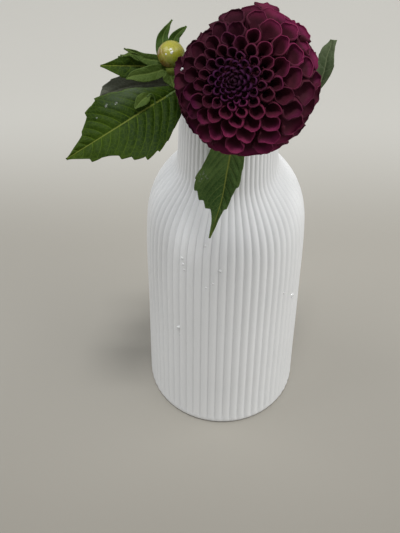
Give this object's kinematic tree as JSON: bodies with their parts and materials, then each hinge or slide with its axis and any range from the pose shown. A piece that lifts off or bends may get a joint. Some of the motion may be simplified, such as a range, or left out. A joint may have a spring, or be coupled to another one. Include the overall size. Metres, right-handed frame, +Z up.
{
  "type": "pompon dahlia flower in a vase",
  "caption": "Cut pompon dahlia bloom with a closed bud and toothed leaves on one stem, standing in water in a tall ribbed bud vase.",
  "frame": {"origin": "middle of the vase's flat foot, on the surface it stands on", "axes": "+Z up along the vase's axis; the bloom looks towards -Y and up; the bud and most leaves reach to -X"},
  "size_m": [0.1204, 0.1177, 0.2919],
  "materials": {
    "vase": "satin",
    "water": "gloss",
    "stem": "satin",
    "petals": "matte",
    "bracts": "satin",
    "bud": "gloss",
    "leaf": "satin",
    "leaf_underside": "matte"
  },
  "bodies": {
    "root": {"vase": "vase", "water": "water", "stem": "stem", "bloom": "petals", "bloom_bracts": "bracts", "bud": "bud", "bud_bracts": "bracts", "leaf_left_large": "leaf", "leaf_left_rear": "leaf_underside", "leaf_left_small": "leaf", "leaf_front": "leaf", "leaf_right": "leaf_underside"}
  },
  "joints": []
}
